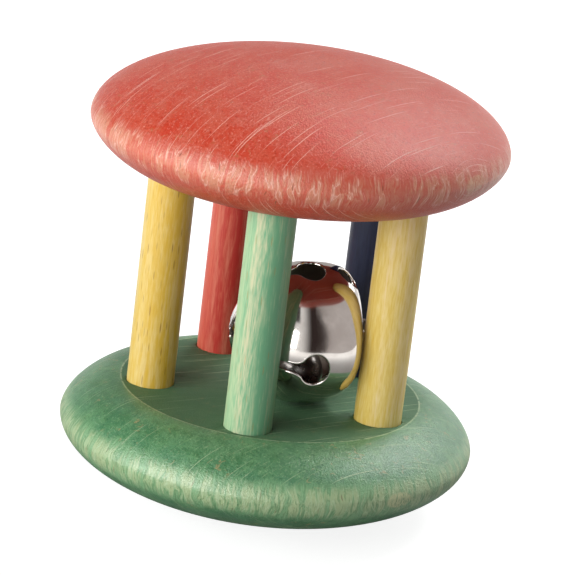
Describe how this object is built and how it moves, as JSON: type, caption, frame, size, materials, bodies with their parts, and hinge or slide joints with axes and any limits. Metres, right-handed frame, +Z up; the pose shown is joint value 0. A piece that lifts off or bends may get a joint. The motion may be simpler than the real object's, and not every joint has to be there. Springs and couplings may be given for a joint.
{
  "type": "wooden rattle",
  "caption": "Baby rattle of two domed wooden discs joined by round dowels, which form an open cage around a loose metal jingle bell.",
  "frame": {"origin": "centre of the small flat at the bottom of the lower disc, on the discs' common axis", "axes": "+Z up along the discs' common axis, -Y to the front, where the green dowel stands, +X to the right"},
  "size_m": [0.07, 0.07, 0.076],
  "materials": {
    "green_stained_disc": "translucent green stain on beech, satin",
    "red_stained_disc": "translucent red stain on beech, satin",
    "green_stained_dowel": "thin pale green stain on beech, satin",
    "yellow_stained_dowel": "translucent yellow stain on beech, satin",
    "blue_stained_dowel": "dark blue stain on beech, satin",
    "red_stained_dowel": "translucent red stain on beech, satin",
    "nickel_plate": "bright nickel plate on pressed steel sheet",
    "ball_steel": "plain steel ball"
  },
  "bodies": {
    "cage": {"lower_disc": "green_stained_disc", "upper_disc": "red_stained_disc", "dowel_front_green": "green_stained_dowel", "dowel_right_yellow": "yellow_stained_dowel", "dowel_back_blue": "blue_stained_dowel", "dowel_back_red": "red_stained_dowel", "dowel_left_yellow": "yellow_stained_dowel"},
    "pellet": {"bell_pellet": "ball_steel"},
    "bell": {"bell_shell": "nickel_plate", "bell_eyelet": "nickel_plate"}
  },
  "joints": [
    {"name": "bell_lift", "type": "slide", "parent": "cage", "child": "pellet", "axis": [0, 0, 1], "range_m": [0, 0.0132]},
    {"name": "bell_roll", "type": "hinge", "parent": "pellet", "child": "bell", "pos_m": [0.00424, -0.00543, 0.03139], "axis": [0.9107, 0.4131, 0], "continuous": true}
  ]
}
